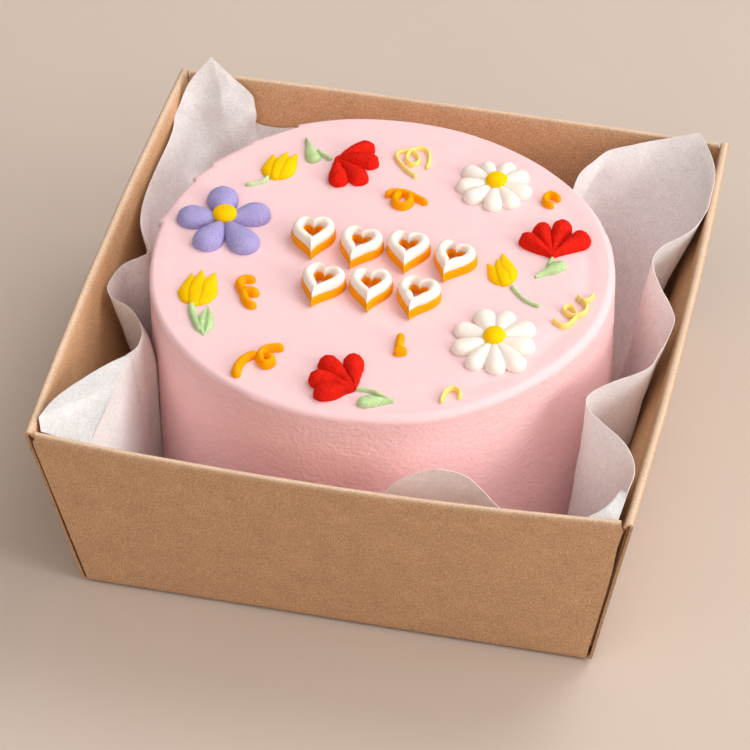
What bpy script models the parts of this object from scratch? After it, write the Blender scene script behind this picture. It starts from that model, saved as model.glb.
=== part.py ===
"""A small round buttercream cake with piped flowers, on baking paper in a low open board tray.

Everything is worked out in millimetres and made in metres. The origin is the middle of the
tray's underside, +Z is up and the tray's front wall faces -Y.
"""

import math

import bmesh
import bpy
from mathutils import Vector

MM = 0.001
GAP = 0.3

# Tray of folded board, which bulges a little round its load
TRAY_HEIGHT = 59.2
TRAY_FLOOR = 1.0
TRAY_BASE_X = 67.4
TRAY_BASE_Y = 67.3
TRAY_TOP_X = 76.0
TRAY_TOP_Y = 75.5
SIDE_WALL = 2.3
END_WALL = 1.5
FRONT_BOW = 2.8
BACK_BOW = 1.0
LEFT_BOW = 1.9
RIGHT_BOW = 1.5
RIGHT_SPREAD_FRONT = 2.2
RIGHT_SPREAD_BACK = 0.4
WALL_STEPS = 8

# Cake
CAKE_X = -2.8
CAKE_Y = -0.6
CAKE_RADIUS = 60.0
CAKE_TOP = 65.0
CAKE_BASE = TRAY_FLOOR + GAP + 0.5 + GAP
CAKE_STEPS = 64
CAKE_RIPPLES = ((1, 0.45, 12), (2, 0.35, 250), (3, 0.22, 140), (5, 0.18, 60), (8, 0.10, 200))
RIM_ROUND_SHARP = 1.6
RIM_ROUND_SOFT = 4.0
RIM_SOFT_SIDE = -40
TOPPING_BASE = CAKE_TOP + GAP

# Sheet of baking paper under and round the cake. Its free edge runs round anticlockwise
# from the right wall, through these places (x, y, height).
PAPER = 0.5
PAPER_FLOOR = TRAY_FLOOR + GAP + PAPER / 2
PAPER_RING = 61.8
PAPER_COLUMNS = 120
RIGHT_EDGE = ((74, 1, 59), (69, 12, 60), (65.3, 20, 60), (66.5, 28, 60), (73.8, 39, 60))
BACK_RIGHT_EDGE = ((74.9, 48, 60), (74.3, 63, 60), (68.3, 73.6, 62.5), (57, 72.3, 59.5), (45.5, 64, 60))
BACK_EDGE = ((39.5, 54, 59), (32, 61, 50), (12, 68, 42), (-10, 70, 41), (-30, 70.4, 45), (-44, 71, 49))
BACK_LEFT_EDGE = ((-54.6, 71.4, 46.6), (-56.4, 71.8, 50.5), (-56.6, 72, 55), (-60.7, 72, 60.5),
                  (-66.8, 71.9, 67.4))
LEFT_EDGE = ((-72.6, 67, 60.5), (-73, 44, 60), (-72.8, 22, 60), (-70.2, 9, 59.5), (-64.6, -0.5, 58))
LEFT_FOLD = ((-71.2, -4.4, 56), (-73.6, -10.3, 52), (-68.8, -16.4, 53), (-59.6, -28.5, 57.5))
FRONT_LEFT_FLAP = ((-58, -43, 60), (-71, -61.5, 60), (-74.2, -71.6, 59.6), (-61, -73.6, 57))
FRONT_EDGE = ((-42, -71, 46), (-12, -69.5, 42.5), (10.5, -67.5, 47), (29, -66.5, 58.3), (43.5, -70, 51.5))
FRONT_RIGHT_EDGE = ((55.5, -72.4, 51), (69.5, -72.6, 58), (74.4, -64.5, 59.5), (74.6, -55.5, 60))
RIGHT_FOLD = ((67, -45.6, 60), (58.3, -35.4, 60), (61.8, -28.6, 60), (72.8, -18.5, 58.5))
PAPER_EDGE = (RIGHT_EDGE + BACK_RIGHT_EDGE + BACK_EDGE + BACK_LEFT_EDGE + LEFT_EDGE + LEFT_FOLD
              + FRONT_LEFT_FLAP + FRONT_EDGE + FRONT_RIGHT_EDGE + RIGHT_FOLD)

# Piped flowers: each petal is (far end x, far end y, half width)
DOME_SIDES = 10
DOME_HEIGHT = 2.2
STEM_HEIGHT = 1.1
VIOLET_HUB_HEIGHT = 1.5
VIOLET_HUB = (-46.7, 8.3)
VIOLET_PETALS = ((-50.1, 20.3, 4.3), (-37.6, 16.0, 4.2), (-36.0, -3.8, 4.4), (-49.8, -6.6, 4.1),
                 (-58.9, 7.0, 4.2))
DAISY_HUB_HEIGHT = 1.2
DAISY_PETALS = 9
DAISIES = (
    # hub x, hub y, mean length of a petal, half width, turn
    (20.2, 36.2, 11.2, 2.75, 8),
    (32.6, -25.2, 11.0, 3.0, 28),
)
RED_FLOWERS = (
    # hub, then the petals
    ((-25.0, 38.4), ((-16.0, 46.3, 3.2), (-12.0, 38.0, 3.6), (-13.8, 29.8, 3.1), (-20.6, 27.2, 3.2))),
    ((40.3, 11.8), ((31.2, 19.0, 2.7), (34.4, 23.6, 2.8), (40.9, 25.6, 3.0), (47.8, 21.6, 3.2))),
    ((1.7, -48.6), ((-1.6, -37.0, 2.7), (-8.6, -39.0, 3.2), (-10.2, -46.4, 3.0), (-7.2, -53.2, 3.2))),
)
RED_LEAVES = (
    # stem points, stem width, leaf from, leaf to, leaf half width
    (((-26.4, 38.0), (-29.0, 39.6), (-30.6, 41.4)), 1.3, (-33.6, 45.0), (-28.9, 35.6), 1.7),
    (((40.5, 10.2), (41.5, 8.6), (41.3, 6.2)), 1.4, (43.6, 10.0), (38.0, 2.2), 2.0),
    (((2.9, -48.9), (6.2, -48.8), (9.6, -51.6)), 1.2, (12.2, -51.8), (4.2, -54.0), 1.8),
)
TULIPS = (
    # base, three petal tips, half width of a petal, stem points, stem width
    ((-38.3, 26.0), ((-39.9, 37.4), (-36.8, 38.9), (-34.1, 37.5)), 2.7,
     ((-39.2, 25.2), (-41.0, 23.9), (-45.4, 22.4)), 1.4),
    ((30.6, -2.2), ((27.4, 10.4), (25.8, 8.0), (23.6, 5.4)), 2.5,
     ((31.6, -2.6), (35.0, -5.2), (40.8, -8.0)), 1.2),
    ((-46.6, -27.0), ((-49.8, -15.0), (-46.9, -13.7), (-43.1, -14.2)), 2.8,
     ((-46.2, -27.9), (-45.4, -31.0), (-43.6, -34.4), (-40.9, -37.4)), 1.8),
)
TULIP_PETAL_HEIGHTS = (2.2, 2.7, 2.2)
TULIP_LEAF = ((-42.0, -27.2), (-39.8, -38.4), 2.4)

# Two rows of piped hearts: centre x, centre y, size, lean in degrees
HEARTS = (
    (-21.8, 4.2, 4.3, 9), (-9.1, 2.8, 4.3, -6), (3.5, 3.8, 4.2, 5), (15.8, 2.6, 4.1, -9),
    (-15.3, -13.8, 4.3, -7), (-2.6, -12.8, 4.2, 6), (9.8, -13.4, 4.2, -4),
)
HEART_TALL = 1.22
HEART_NOTCH = -0.45
HEART_TURNS = (0, 30, 48, 66, 84, 104, 128, 154, 180, 206, 232, 256, 276, 294, 312, 330)
HEART_BASE_WIDTH = 3.5
HEART_BASE_HEIGHT = 2.5
HEART_TOP_WIDTH = 2.9
HEART_TOP_HEIGHT = 2.0

# Piped streamers: strokes of (x, y) points, then the width
ORANGE_STREAMERS = (
    ((((-7.6, 27.4), (-6.6, 29.4), (-3.0, 29.8), (0.2, 28.8), (3.8, 26.2)),
      ((-3.6, 29.0), (-4.8, 26.0), (-3.4, 23.6), (-1.4, 24.0), (-0.6, 26.6), (-1.8, 28.6))), 2.2),
    ((((37.0, 34.3), (36.0, 36.3), (33.8, 35.2), (33.9, 32.6), (35.6, 31.2)),), 2.1),
    ((((-33.2, -14.0), (-35.2, -13.6), (-36.2, -15.6), (-35.4, -19.6), (-33.4, -23.2), (-31.0, -24.8)),
      ((-35.2, -18.6), (-32.2, -17.2), (-31.2, -19.2), (-33.6, -21.4))), 2.2),
    ((((-28.4, -51.2), (-28.9, -47.0), (-26.6, -42.8), (-23.4, -40.0), (-19.6, -38.2)),
      ((-24.8, -41.8), (-24.6, -45.4), (-22.6, -47.0), (-20.6, -45.2), (-21.8, -42.4))), 2.3),
    ((((8.8, -27.2), (8.9, -30.0), (9.6, -33.4)),), 2.7),
)
YELLOW_STREAMERS = (
    ((((-1.3, 35.6), (-5.8, 39.0), (-8.5, 43.0), (-7.4, 46.6), (-5.0, 47.2), (-2.6, 45.2), (-2.2, 42.2)),
      ((-2.6, 41.6), (-4.6, 41.0), (-5.4, 43.6), (-4.6, 46.6), (-2.4, 48.6), (0.2, 46.4), (0.6, 40.0))),
     1.3),
    ((((45.2, -12.5), (47.4, -15.0), (50.0, -14.0), (50.4, -10.4), (49.0, -7.2), (47.4, -8.4),
       (49.4, -10.0)),
      ((49.6, -10.0), (52.4, -9.4), (53.2, -6.2), (51.6, -2.4), (49.8, -3.0), (51.4, -4.6),
       (53.9, -1.0))), 1.3),
    ((((24.0, -50.4), (24.2, -46.4), (26.2, -44.0), (27.9, -45.4), (28.1, -47.7)),), 1.3),
)

COLOURS = {
    "board": (0.42, 0.25, 0.14),
    "paper": (0.83, 0.77, 0.76),
    "pink": (0.92, 0.55, 0.54),
    "violet": (0.33, 0.28, 0.66),
    "yellow": (0.93, 0.60, 0.01),
    "pale_yellow": (0.96, 0.72, 0.20),
    "red": (0.68, 0.03, 0.015),
    "white": (0.90, 0.84, 0.76),
    "orange": (0.90, 0.33, 0.01),
    "green": (0.42, 0.66, 0.34),
}


def clear_scene():
    """Removes whatever the scene starts with."""
    for obj in list(bpy.data.objects):
        bpy.data.objects.remove(obj)


def add_object(name, mesh, colour, roughness, place=(0, 0, 0), turn=0):
    """Puts a mesh in the scene at a place in millimetres, with a material of its own."""
    material = bpy.data.materials.new(name)
    material.use_nodes = True
    shader = material.node_tree.nodes["Principled BSDF"]
    shader.inputs["Base Color"].default_value = (*COLOURS[colour], 1)
    shader.inputs["Roughness"].default_value = roughness
    shader.inputs["Metallic"].default_value = 0
    mesh.name = name
    mesh.materials.clear()
    mesh.materials.append(material)
    mesh.shade_smooth()
    mesh.set_sharp_from_angle(angle=math.radians(45))
    obj = bpy.data.objects.new(name, mesh)
    obj.location = Vector(place) * MM
    obj.rotation_euler = (0, 0, math.radians(turn))
    bpy.context.scene.collection.objects.link(obj)
    return obj


def add_topping(name, mesh, colour, roughness, place=(0, 0, 0), turn=0):
    """Adds a piece of piping, placed on the cake's top."""
    obj = add_object(name, mesh, colour, roughness, place, turn)
    obj.parent = bpy.data.objects["cake_top"]
    return obj


def add_cake_top():
    """The empty that carries the toppings, just above the cake."""
    top = bpy.data.objects.new("cake_top", None)
    top.location = (0, 0, TOPPING_BASE * MM)
    bpy.context.scene.collection.objects.link(top)


def to_mesh(bm):
    """Turns a shape in millimetres into a mesh in metres, with its faces pointing out."""
    bmesh.ops.scale(bm, vec=(MM, MM, MM), verts=bm.verts)
    bmesh.ops.recalc_face_normals(bm, faces=bm.faces)
    mesh = bpy.data.meshes.new("shape")
    bm.to_mesh(mesh)
    bm.free()
    return mesh


def bridge(bm, ring_a, ring_b):
    """Quads between two rings of as many corners."""
    count = len(ring_a)
    for i in range(count):
        j = (i + 1) % count
        bm.faces.new((ring_a[i], ring_a[j], ring_b[j], ring_b[i]))


def ring_of(bm, points):
    """New corners at these points."""
    return [bm.verts.new(p) for p in points]


def fan(bm, ring, point):
    """Triangles from each side of a ring to one point."""
    top = bm.verts.new(point)
    for i, corner in enumerate(ring):
        bm.faces.new((corner, ring[(i + 1) % len(ring)], top))


def smooth_line(points, closed=False, per_span=12):
    """A smooth curve through the points, as many close points."""
    count = len(points)
    line = []
    for i in range(count if closed else count - 1):
        if closed:
            p0, p1, p2, p3 = (Vector(points[(i + k) % count]) for k in (-1, 0, 1, 2))
        else:
            p1, p2 = Vector(points[i]), Vector(points[i + 1])
            p0 = Vector(points[i - 1]) if i else 2 * p1 - p2
            p3 = Vector(points[i + 2]) if i + 2 < count else 2 * p2 - p1
        steps = [max((b - a).length, 0.01) ** 0.5 for a, b in ((p0, p1), (p1, p2), (p2, p3))]
        start_slope = ((p1 - p0) / steps[0] - (p2 - p0) / (steps[0] + steps[1]) + (p2 - p1) / steps[1])
        end_slope = ((p2 - p1) / steps[1] - (p3 - p1) / (steps[1] + steps[2]) + (p3 - p2) / steps[2])
        for k in range(per_span):
            t = k / per_span
            h01 = t * t * (3 - 2 * t)
            line.append(p1 * (1 - h01) + p2 * h01 + start_slope * steps[1] * t * (1 - t) ** 2
                        - end_slope * steps[1] * t * t * (1 - t))
    if not closed:
        line.append(Vector(points[-1]))
    return line


def along(line, share, closed=False):
    """The point at a share of a line's length."""
    ends = line[1:] + line[:1] if closed else line[1:]
    lengths = [(b - a).length for a, b in zip(line, ends)]
    left = share * sum(lengths)
    for start, end, length in zip(line, ends, lengths):
        if left <= length and length:
            return start.lerp(end, left / length)
        left -= length
    return ends[-1].copy()


def tray_bow(share):
    """How much of a wall's bow shows at a share of its length from the middle, -1 to 1."""
    return 1 - share * share


def tray_corner(side_x, side_y):
    """Half the tray's width at the top of one corner."""
    if side_x < 0:
        return TRAY_TOP_X
    return TRAY_TOP_X + (RIGHT_SPREAD_FRONT if side_y < 0 else RIGHT_SPREAD_BACK)


def tray_outline(height, inset_side, inset_end):
    """The tray's outline at a height, moved in from its outer faces."""
    up = height / TRAY_HEIGHT
    points = []
    for side in range(4):
        for step in range(WALL_STEPS):
            t = 2 * step / WALL_STEPS - 1
            side_x = (t, 1, -t, -1)[side]
            side_y = (-1, t, 1, -t)[side]
            right = TRAY_BASE_X + up * (tray_corner(1, -1) * (1 - side_y) + tray_corner(1, 1) * (1 + side_y)
                                        - 2 * TRAY_BASE_X) / 2
            left = TRAY_BASE_X + up * (TRAY_TOP_X - TRAY_BASE_X)
            half_x = (right + RIGHT_BOW * up * tray_bow(side_y) if side_x > 0
                      else left + LEFT_BOW * up * tray_bow(side_y))
            bow_y = FRONT_BOW if side_y < 0 else BACK_BOW
            half_y = TRAY_BASE_Y + up * (TRAY_TOP_Y - TRAY_BASE_Y + bow_y * tray_bow(side_x))
            points.append(Vector((side_x * (half_x - inset_side), side_y * (half_y - inset_end), height)))
    return points


def make_tray():
    """The board tray: flared walls, thick rolled rims at the sides and thin ones at the ends."""
    bm = bmesh.new()
    rows = [(0, 0, 0)]
    for turn in (0, 45, 90, 135, 180):
        out = (1 - math.cos(math.radians(turn))) / 2
        top = TRAY_HEIGHT - SIDE_WALL / 2 * (1 - math.sin(math.radians(turn)))
        rows.append((top, out * SIDE_WALL, out * END_WALL))
    rows.append((TRAY_FLOOR, SIDE_WALL, END_WALL))
    rings = [ring_of(bm, tray_outline(*row)) for row in rows]
    for lower, upper in zip(rings, rings[1:]):
        bridge(bm, lower, upper)
    bm.faces.new(rings[0])
    bm.faces.new(rings[-1])
    return add_object("tray", to_mesh(bm), "board", 0.85)


def cake_radius(angle):
    """The cake's radius at an angle in radians, as uneven as a palette knife leaves it."""
    waves = sum(size * math.sin(count * angle + math.radians(turn)) for count, size, turn in CAKE_RIPPLES)
    return CAKE_RADIUS + waves


def cake_rim(angle):
    """How round the top edge is at an angle: soft at the front right, crisp behind."""
    soft = (1 + math.cos(angle - math.radians(RIM_SOFT_SIDE))) / 2
    return RIM_ROUND_SHARP + (RIM_ROUND_SOFT - RIM_ROUND_SHARP) * soft * soft


def make_cake():
    """The cake, one solid with a smooth spread surface."""
    bm = bmesh.new()
    profiles = []
    for step in range(CAKE_STEPS):
        angle = 2 * math.pi * step / CAKE_STEPS
        reach = cake_radius(angle)
        rim = cake_rim(angle)
        rows = [(reach - 0.9, CAKE_BASE), (reach - 0.1, CAKE_BASE + 1.2), (reach, CAKE_TOP * 0.35),
                (reach - 0.1, CAKE_TOP * 0.7)]
        for turn in range(0, 91, 22):
            a = math.radians(turn)
            rows.append((reach - rim * (1 - math.cos(a)), CAKE_TOP - rim * (1 - math.sin(a))))
        rows.append((CAKE_RADIUS - 8, CAKE_TOP))
        rows.append((CAKE_RADIUS / 2, CAKE_TOP))
        profiles.append([Vector((CAKE_X + r * math.cos(angle), CAKE_Y + r * math.sin(angle), z))
                         for r, z in rows])
    rings = [ring_of(bm, row) for row in zip(*profiles)]
    for lower, upper in zip(rings, rings[1:]):
        bridge(bm, lower, upper)
    fan(bm, rings[0], (CAKE_X, CAKE_Y, CAKE_BASE))
    fan(bm, rings[-1], (CAKE_X, CAKE_Y, CAKE_TOP))
    return add_object("cake", to_mesh(bm), "pink", 0.5)


def paper_angle(point):
    """A place's angle round the cake."""
    return math.atan2(point[1] - CAKE_Y, point[0] - CAKE_X)


def paper_columns():
    """For each column of the sheet: the place where it leaves the floor, its bend and its free edge."""
    edge = smooth_line(PAPER_EDGE, closed=True)
    flap_start = Vector(FRONT_LEFT_FLAP[0])
    flap_end = Vector(FRONT_LEFT_FLAP[-1])
    first = paper_angle(flap_start) % (2 * math.pi)
    last = paper_angle(flap_end) % (2 * math.pi)
    places = [along(edge, i / PAPER_COLUMNS, closed=True) for i in range(PAPER_COLUMNS)]
    columns = []
    for i, free in enumerate(places):
        near = [places[(i + k) % PAPER_COLUMNS] - Vector((CAKE_X, CAKE_Y, 0)) for k in (-2, -1, 0, 1, 2)]
        middle = sum((Vector((p.x, p.y)).normalized() for p in near), Vector((0, 0))).normalized()
        foot = Vector((CAKE_X + PAPER_RING * middle.x, CAKE_Y + PAPER_RING * middle.y, PAPER_FLOOR))
        share = (paper_angle(free) % (2 * math.pi) - first) / (last - first)
        bend = foot.lerp(free, 0.62)
        if 0.02 < share < 0.98:
            bend = flap_start.lerp(flap_end, share) * 0.97 + foot * 0.03
        columns.append((foot, bend, free))
    return columns


def make_liner():
    """The baking paper: flat under the cake, then up round it in waves, with one corner bent over."""
    bm = bmesh.new()
    rows = [[], [], [], [], [], []]
    for foot, bend, free in paper_columns():
        for row, point in zip(rows, (foot, foot.lerp(bend, 1 / 3), foot.lerp(bend, 2 / 3), bend,
                                     bend.lerp(free, 0.5), free)):
            row.append(point)
    rings = [ring_of(bm, row) for row in rows]
    for lower, upper in zip(rings, rings[1:]):
        bridge(bm, lower, upper)
    fan(bm, rings[0], (CAKE_X, CAKE_Y, PAPER_FLOOR))
    bmesh.ops.triangulate(bm, faces=bm.faces)
    mesh = to_mesh(bm)
    obj = add_object("liner", mesh, "paper", 0.7)
    skin = obj.modifiers.new("thickness", "SOLIDIFY")
    skin.thickness = PAPER * MM
    skin.offset = 0
    return obj


def arch(half_width, height, sides):
    """Across a piped stroke: offsets and heights over a flat bottom."""
    turns = [math.pi * k / sides for k in range(sides + 1)]
    return [(half_width * math.cos(a), height * math.sin(a) ** 0.8) for a in turns]


def loft_line(line, sections):
    """A closed mesh along a flat line, from one section of (offset, height) at each of its points."""
    bm = bmesh.new()
    rings = []
    for i, (point, section) in enumerate(zip(line, sections)):
        ahead = line[min(i + 1, len(line) - 1)] - line[max(i - 1, 0)]
        across = Vector((-ahead.y, ahead.x)).normalized()
        rings.append(ring_of(bm, [(point.x + across.x * off, point.y + across.y * off, up)
                                  for off, up in section]))
    for lower, upper in zip(rings, rings[1:]):
        bridge(bm, lower, upper)
    bm.faces.new(rings[0])
    bm.faces.new(rings[-1])
    return to_mesh(bm)


def petal(tip, half_width, height, hub_width, hub_height, hub_reach=0.0, sides=4):
    """A piped petal, narrow and low from just behind the flower's hub, and round and full at its end."""
    tip = Vector(tip)
    length = tip.length
    bulb = 1 - half_width / length
    flat = hub_reach / length
    shares = [-0.03, flat or bulb / 2, bulb, bulb + (1 - bulb) * 0.55, bulb + (1 - bulb) * 0.87, 0.995]
    sections = []
    for share in shares:
        rise = min(max((share - flat) / (bulb - flat), 0), 1)
        width = hub_width + (half_width - hub_width) * min(max(share, 0) / bulb, 1) ** 0.8
        tall = hub_height + (height - hub_height) * rise * (2 - rise)
        if share > bulb:
            end = math.sqrt(1 - ((share - bulb) / (1 - bulb)) ** 2)
            width *= end
            tall *= max(end, 0.25)
        sections.append(arch(width, tall, sides))
    return loft_line([tip * s for s in shares], sections)


def leaf(start, tip, half_width, height, sides=4):
    """A piped leaf, pointed at both ends."""
    start, tip = Vector(start), Vector(tip)
    shares = (0.01, 0.2, 0.45, 0.7, 0.88, 0.99)
    sections = []
    for share in shares:
        full = math.sin(math.pi * share ** 1.2) ** 0.8
        sections.append(arch(half_width * max(full, 0.1), height * max(full, 0.3), sides))
    return loft_line([start.lerp(tip, s) for s in shares], sections)


def pointed_petal(tip, half_width, height, sides=5):
    """One of a tulip's petals: full below and pointed above."""
    tip = Vector(tip)
    shares = (0.0, 0.1, 0.32, 0.6, 0.84, 0.99)
    widths = (0.4, 0.8, 1.0, 0.92, 0.5, 0.1)
    sections = [arch(half_width * w, height * max(w, 0.35), sides) for w in widths]
    return loft_line([tip * s for s in shares], sections)


def stroke(points, width, height, spacing=1.0, sides=4):
    """A piped line with round ends. Its rings are spacing widths apart."""
    line = smooth_line([Vector(p) for p in points])
    length = sum((b - a).length for a, b in zip(line, line[1:]))
    count = max(2, round(length / (spacing * width)))
    shares = [0.0, 0.22 * width / length]
    shares += [(0.5 * width + (length - width) * k / count) / length for k in range(count + 1)]
    shares += [1 - shares[1], 1.0]
    sections = []
    for share in shares:
        near = min(share, 1 - share) * length / (width / 2)
        full = 1.0 if near >= 1 else max(math.sqrt(1 - (1 - near) ** 2), 0.35)
        half = width / 2 * full
        tall = height * max(full, 0.6)
        sections.append(arch(half, tall, sides))
    return loft_line([along(line, s) for s in shares], sections)


def union(meshes):
    """One closed mesh from several that overlap."""
    if len(meshes) == 1:
        return meshes[0]
    collection = bpy.data.collections.new("joined")
    bpy.context.scene.collection.children.link(collection)
    parts = [bpy.data.objects.new("part", mesh) for mesh in meshes]
    bpy.context.scene.collection.objects.link(parts[0])
    for part in parts[1:]:
        collection.objects.link(part)
    cut = parts[0].modifiers.new("union", "BOOLEAN")
    cut.operation = "UNION"
    cut.operand_type = "COLLECTION"
    cut.collection = collection
    cut.solver = "EXACT"
    graph = bpy.context.evaluated_depsgraph_get()
    joined = bpy.data.meshes.new_from_object(parts[0].evaluated_get(graph))
    for part in parts:
        bpy.data.objects.remove(part)
    bpy.data.collections.remove(collection)
    return joined


def dome(name, place, radius_x, radius_y, height, colour):
    """A piped dot with a soft point."""
    bm = bmesh.new()
    turns = [2 * math.pi * k / DOME_SIDES for k in range(DOME_SIDES)]
    rings = []
    for reach, up in ((0.88, 0.0), (1.0, 0.3), (0.9, 0.62), (0.6, 0.88), (0.25, 1.0)):
        rings.append(ring_of(bm, [(radius_x * reach * math.cos(a), radius_y * reach * math.sin(a),
                                   height * up) for a in turns]))
    for lower, upper in zip(rings, rings[1:]):
        bridge(bm, lower, upper)
    bm.faces.new(rings[0])
    fan(bm, rings[-1], (0, 0, height * 1.04))
    return add_topping(name, to_mesh(bm), colour, 0.5, place)


def make_violet():
    """The large flower with five petals and a yellow dot."""
    x, y = VIOLET_HUB
    petals = [petal((px - x, py - y), half, 3.6, 1.9, VIOLET_HUB_HEIGHT, 3.9)
              for px, py, half in VIOLET_PETALS]
    add_topping("violet_petals", union(petals), "violet", 0.8, (x, y, 0))
    dome("violet_centre", (x - 0.2, y - 0.1, VIOLET_HUB_HEIGHT + GAP), 3.2, 3.3, DOME_HEIGHT, "yellow")


def make_daisies():
    """Two white daisies with nine petals each, uneven in length."""
    for number, (x, y, length, half, turn) in enumerate(DAISIES, 1):
        petals = []
        for k in range(DAISY_PETALS):
            angle = math.radians(360 * k / DAISY_PETALS)
            reach = length * (1 + 0.05 * math.sin(2.3 * k + number))
            wide = half * (1 + 0.07 * math.sin(3.1 * k + 2 * number))
            tip = (reach * math.cos(angle), reach * math.sin(angle))
            petals.append(petal(tip, wide, 2.7, 1.1, DAISY_HUB_HEIGHT, 3.5))
        add_topping(f"daisy_petals_{number}", union(petals), "white", 0.5, (x, y, 0), turn)
        dome(f"daisy_centre_{number}", (x, y, DAISY_HUB_HEIGHT + GAP), 2.9, 3.2, DOME_HEIGHT, "yellow")


def make_red_flowers():
    """Three red flowers seen from the side, each a fan of four petals with a leaf at its foot."""
    for number, ((x, y), tips) in enumerate(RED_FLOWERS, 1):
        petals = [petal((px - x, py - y), half, 3.3, 0.8, 1.3) for px, py, half in tips]
        add_topping(f"red_petals_{number}", union(petals), "red", 0.8, (x, y, 0))
    for number, (stem, width, start, tip, half) in enumerate(RED_LEAVES, 1):
        pieces = [leaf(start, tip, half, 1.6), stroke(stem, width, STEM_HEIGHT)]
        add_topping(f"red_leaf_{number}", union(pieces), "green", 0.5)


def make_tulips():
    """Three yellow tulips of three pointed petals, on thin stems; the last has a leaf."""
    for number, ((x, y), tips, half, stem, width) in enumerate(TULIPS, 1):
        petals = [pointed_petal((px - x, py - y), half, height)
                  for (px, py), height in zip(tips, TULIP_PETAL_HEIGHTS)]
        add_topping(f"tulip_{number}", union(petals), "yellow", 0.5, (x, y, 0))
        pieces = [stroke(stem, width, STEM_HEIGHT, spacing=1.6)]
        if number == len(TULIPS):
            start, tip, wide = TULIP_LEAF
            pieces.append(leaf(start, tip, wide, 1.3))
        add_topping(f"tulip_stem_{number}", union(pieces), "green", 0.5)


def heart_ring(bm, size, grow, height):
    """Corners round a heart's line, moved out by grow at its sides and lifted to a height."""
    corners = []
    for degrees in HEART_TURNS:
        t = math.radians(degrees)
        curve = 13 * math.cos(t) - 5 * math.cos(2 * t) - 2 * math.cos(3 * t) - math.cos(4 * t)
        across = (size + grow) * math.sin(t) ** 3
        up = (size + grow) * HEART_TALL * (curve / 16 + 0.14) + HEART_NOTCH * grow
        corners.append(bm.verts.new((across, up, height)))
    return corners


def heart_band(size, section):
    """A line of cream piped in a closed heart, from its section of (offset, height)."""
    bm = bmesh.new()
    rings = [heart_ring(bm, size, offset, up) for offset, up in section]
    for inner, outer in zip(rings, rings[1:] + rings[:1]):
        bridge(bm, inner, outer)
    return to_mesh(bm)


def make_hearts():
    """Two rows of small hearts: a white line piped on top of a wider orange one."""
    half = HEART_BASE_WIDTH / 2
    block = [(half, 0), (half, HEART_BASE_HEIGHT), (-half, HEART_BASE_HEIGHT), (-half, 0)]
    line = arch(HEART_TOP_WIDTH / 2, HEART_TOP_HEIGHT, 4)
    for number, (x, y, size, lean) in enumerate(HEARTS, 1):
        add_topping(f"heart_base_{number}", heart_band(size, block), "orange", 0.45, (x, y, 0), lean)
        add_topping(f"heart_top_{number}", heart_band(size, line), "white", 0.45,
                    (x, y, HEART_BASE_HEIGHT + GAP), lean)


def make_streamers():
    """Loose piped squiggles, thick orange ones and thin pale yellow ones."""
    for kind, colour, height, spacing, streamers in (("orange", "orange", 1.9, 1.2, ORANGE_STREAMERS),
                                                     ("yellow", "pale_yellow", 1.1, 2.0, YELLOW_STREAMERS)):
        for number, (lines, width) in enumerate(streamers, 1):
            strokes = [stroke(line, width, height * (1 + 0.04 * k), spacing) for k, line in enumerate(lines)]
            add_topping(f"{kind}_streamer_{number}", union(strokes), colour, 0.45)


def main():
    clear_scene()
    make_tray()
    make_liner()
    make_cake()
    add_cake_top()
    make_violet()
    make_daisies()
    make_red_flowers()
    make_tulips()
    make_hearts()
    make_streamers()


main()
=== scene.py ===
"""The looks of a small buttercream cake with piped flowers, on baking paper in a low tray of brown board.

Lengths are in millimetres and turn into metres when a mesh is made. The origin is the middle of the
tray's underside, +Z is up and the tray's front wall faces -Y.
"""

import math

import bmesh
import bpy
import numpy as np
from mathutils import Matrix, Vector


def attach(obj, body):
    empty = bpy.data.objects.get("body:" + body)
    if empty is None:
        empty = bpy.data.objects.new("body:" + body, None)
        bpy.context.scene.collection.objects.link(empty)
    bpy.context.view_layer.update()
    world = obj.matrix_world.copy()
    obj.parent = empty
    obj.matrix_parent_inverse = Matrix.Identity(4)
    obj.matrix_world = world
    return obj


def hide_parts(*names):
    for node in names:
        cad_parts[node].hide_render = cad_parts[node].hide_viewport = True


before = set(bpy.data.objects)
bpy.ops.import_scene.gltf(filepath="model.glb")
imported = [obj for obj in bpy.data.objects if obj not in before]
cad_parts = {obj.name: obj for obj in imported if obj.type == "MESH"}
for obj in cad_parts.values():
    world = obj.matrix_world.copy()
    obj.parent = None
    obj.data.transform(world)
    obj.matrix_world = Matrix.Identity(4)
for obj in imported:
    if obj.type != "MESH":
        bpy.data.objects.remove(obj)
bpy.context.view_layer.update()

MM = 0.001
TURN = 2 * math.pi
STEPS_PER_SPAN = 16

# Camera, fitted to the photograph's frame
FRAME_PIXELS = 750
FOCAL_PIXELS = 4314.463
CAMERA_AZIMUTH = 13.328
CAMERA_ELEVATION = 41.945
CAMERA_ROLL = -0.507
CAMERA_PLACE = (-4.627, 19.57, 1162.282)
SENSOR = 36.0

# Tray
TRAY_HEIGHT = 59.2
TRAY_FLOOR = 1.0
TRAY_BASE_X = 67.4
TRAY_BASE_Y = 67.3
TRAY_TOP_X = 76.0
TRAY_TOP_Y = 75.5
SIDE_WALL = 2.3
END_WALL = 1.5
# How far each wall's rim leans out at its front or left end, at its other end, and more in its middle
LEFT_LEAN = (1.1, 0.8, 1.5)
RIGHT_LEAN = (2.2, 0.4, 1.5)
FRONT_LEAN = (1.5, 0.8, 3.4)
BACK_LEAN = (0, 0, 1.0)
BOARD = 0.8
CORNER_SLIT = 0.8
FLAP_EDGE = 51.5
FLAP_HANG = 0.5
FLAP_FOOT = 1.4
FOOT_HEIGHT = 1.2
FOOT_SHORT = 2.2
BELOW_RIM = TRAY_HEIGHT - 2
LINING = 0.5
LINING_HANG = 4.6
LINING_SHORT = 2.4

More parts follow.
